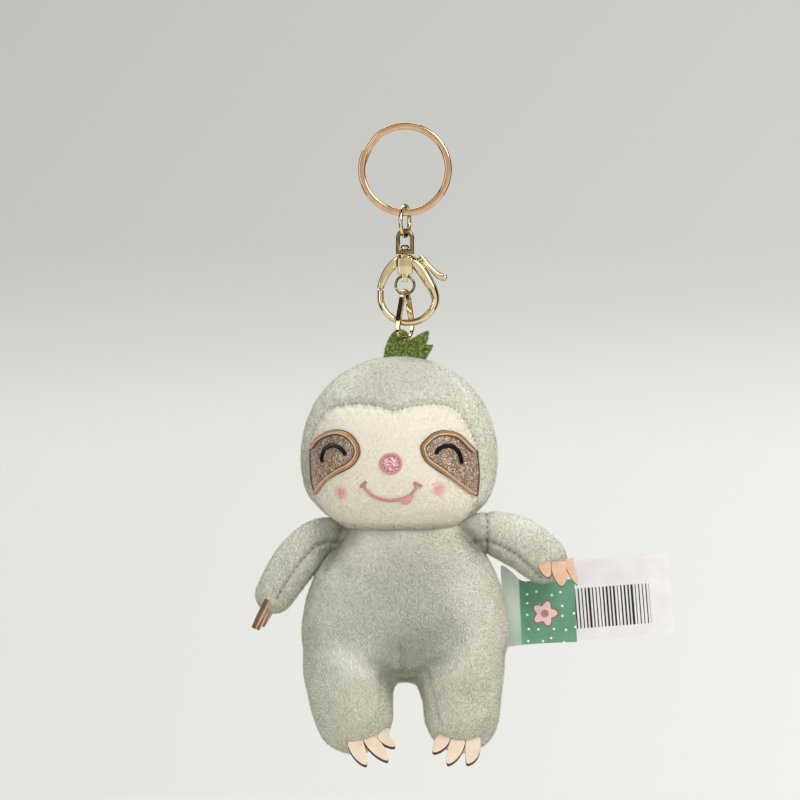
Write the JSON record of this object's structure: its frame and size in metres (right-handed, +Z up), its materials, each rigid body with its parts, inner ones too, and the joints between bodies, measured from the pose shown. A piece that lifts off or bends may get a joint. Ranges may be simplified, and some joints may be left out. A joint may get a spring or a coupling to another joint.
{
  "type": "plush keychain",
  "caption": "Stuffed sloth toy with a cream face and leather claws, hung by a felt leaf from a pinch bail, swivel lobster clasp and split key ring.",
  "frame": {"origin": "inside top of the key ring, where a hook or finger carries it", "axes": "+Z up along the hanging chain, the toy's face towards -Y, the label towards +X"},
  "size_m": [0.1363, 0.0531, 0.2058],
  "materials": {
    "gold": "polished",
    "champagne": "polished",
    "steel": "satin",
    "grey_plush": "matte",
    "cream_plush": "matte",
    "stuffing": "matte",
    "glitter_brown": "satin",
    "copper_thread": "satin",
    "black_thread": "matte",
    "glitter_pink": "satin",
    "pink_thread": "satin",
    "claw_hide": "satin",
    "felt": "matte",
    "label_green": "satin",
    "label_white": "satin"
  },
  "bodies": {
    "key_ring": {"key_ring": "gold"},
    "jump_ring": {"upper_jump_ring": "gold"},
    "bail": {"swivel_bail": "champagne"},
    "clasp": {"clasp_body": "champagne", "swivel_rivet": "champagne", "gate_pin": "steel", "gate_spring": "steel"},
    "gate": {"clasp_gate": "champagne"},
    "small_ring": {"small_ring": "gold"},
    "pinch_bail": {"pinch_bail": "gold"},
    "plush": {"head_skin": "grey_plush", "face_panel": "cream_plush", "head_stuffing": "stuffing", "eye_patch_left": "glitter_brown", "eye_border_left": "copper_thread", "eye_stitch_left": "black_thread", "eye_patch_right": "glitter_brown", "eye_border_right": "copper_thread", "eye_stitch_right": "black_thread", "nose_patch": "glitter_pink", "nose_border": "pink_thread", "mouth_stitch": "pink_thread", "felt_leaf": "felt", "body_skin": "grey_plush", "body_stuffing": "stuffing", "foot_claws_left": "claw_hide", "foot_claws_right": "claw_hide"},
    "arm_left": {"arm_skin_left": "grey_plush", "arm_stuffing_left": "stuffing", "hand_claws_left": "claw_hide"},
    "arm_right": {"arm_skin_right": "grey_plush", "arm_stuffing_right": "stuffing", "hand_claws_right": "claw_hide"},
    "label": {"label_front": "label_green", "label_back": "label_white"}
  },
  "joints": [
    {"name": "ring_swing", "type": "hinge", "parent": "key_ring", "child": "jump_ring", "pos_m": [0, 0, -0.0267], "axis": [1, 0, 0], "range_deg": [-45, 45]},
    {"name": "bail_swing", "type": "hinge", "parent": "jump_ring", "child": "bail", "pos_m": [0, 0, -0.0342], "axis": [0, 1, 0], "range_deg": [-40, 40]},
    {"name": "clasp_swivel", "type": "hinge", "parent": "bail", "child": "clasp", "pos_m": [0, 0, -0.04], "axis": [0, 0, 1], "continuous": true},
    {"name": "gate_open", "type": "hinge", "parent": "clasp", "child": "gate", "pos_m": [0.0003, 0, -0.04365], "axis": [0, -1, 0], "range_deg": [0, 18], "stiffness_Nm_per_rad": 0.01, "springref_deg": -20.05},
    {"name": "small_ring_swing", "type": "hinge", "parent": "clasp", "child": "small_ring", "pos_m": [0, 0, -0.04835], "axis": [0, 1, 0], "range_deg": [-12, 12]},
    {"name": "pinch_bail_swing", "type": "hinge", "parent": "small_ring", "child": "pinch_bail", "pos_m": [0, 0, -0.05295], "axis": [1, 0, 0], "range_deg": [-8, 8]},
    {"name": "plush_swing", "type": "hinge", "parent": "pinch_bail", "child": "plush", "pos_m": [0, 0, -0.0668], "axis": [0.5, 0.866, 0], "range_deg": [-10, 10]},
    {"name": "arm_left_swing", "type": "hinge", "parent": "plush", "child": "arm_left", "pos_m": [-0.0205, 0, -0.1301], "axis": [-0.7111, 0, 0.7031], "range_deg": [-15, 40], "stiffness_Nm_per_rad": 0.02},
    {"name": "arm_right_swing", "type": "hinge", "parent": "plush", "child": "arm_right", "pos_m": [0.0209, 0, -0.1304], "axis": [-0.3729, 0, -0.9279], "range_deg": [0, 40], "stiffness_Nm_per_rad": 0.02},
    {"name": "label_flap", "type": "hinge", "parent": "plush", "child": "label", "pos_m": [0.0324, 0.0065, -0.1548], "axis": [0, 0, 1], "range_deg": [0, 30], "stiffness_Nm_per_rad": 0.002}
  ]
}
